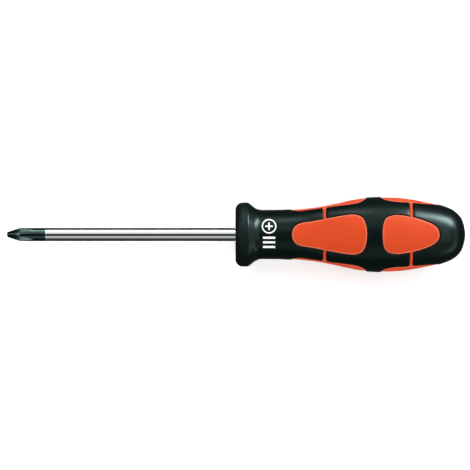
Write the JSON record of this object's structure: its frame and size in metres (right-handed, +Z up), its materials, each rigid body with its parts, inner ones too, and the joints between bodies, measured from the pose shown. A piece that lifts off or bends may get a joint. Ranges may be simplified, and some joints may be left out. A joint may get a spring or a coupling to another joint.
{
  "type": "cross-point screwdriver",
  "caption": "Cross-point screwdriver: round plated blade with a dark point, in a moulded squared-off handle with a collared front, soft pads in windows and a domed end.",
  "frame": {"origin": "point of the blade, on the blade's axis", "axes": "+X along the blade's axis from the point to the handle's domed end; +Z up, square to one pair of grip pads; +Y square to the other pair"},
  "size_m": [0.2004, 0.033, 0.033],
  "materials": {
    "blade_steel": "satin plating, with the point left dark",
    "core_plastic": "plain",
    "shell_plastic": "semi-gloss",
    "grip_rubber": "matte"
  },
  "bodies": {
    "root": {"blade": "blade_steel", "handle_core": "core_plastic", "handle_shell": "shell_plastic", "front_grip": "grip_rubber", "rear_grip": "grip_rubber"}
  },
  "joints": []
}
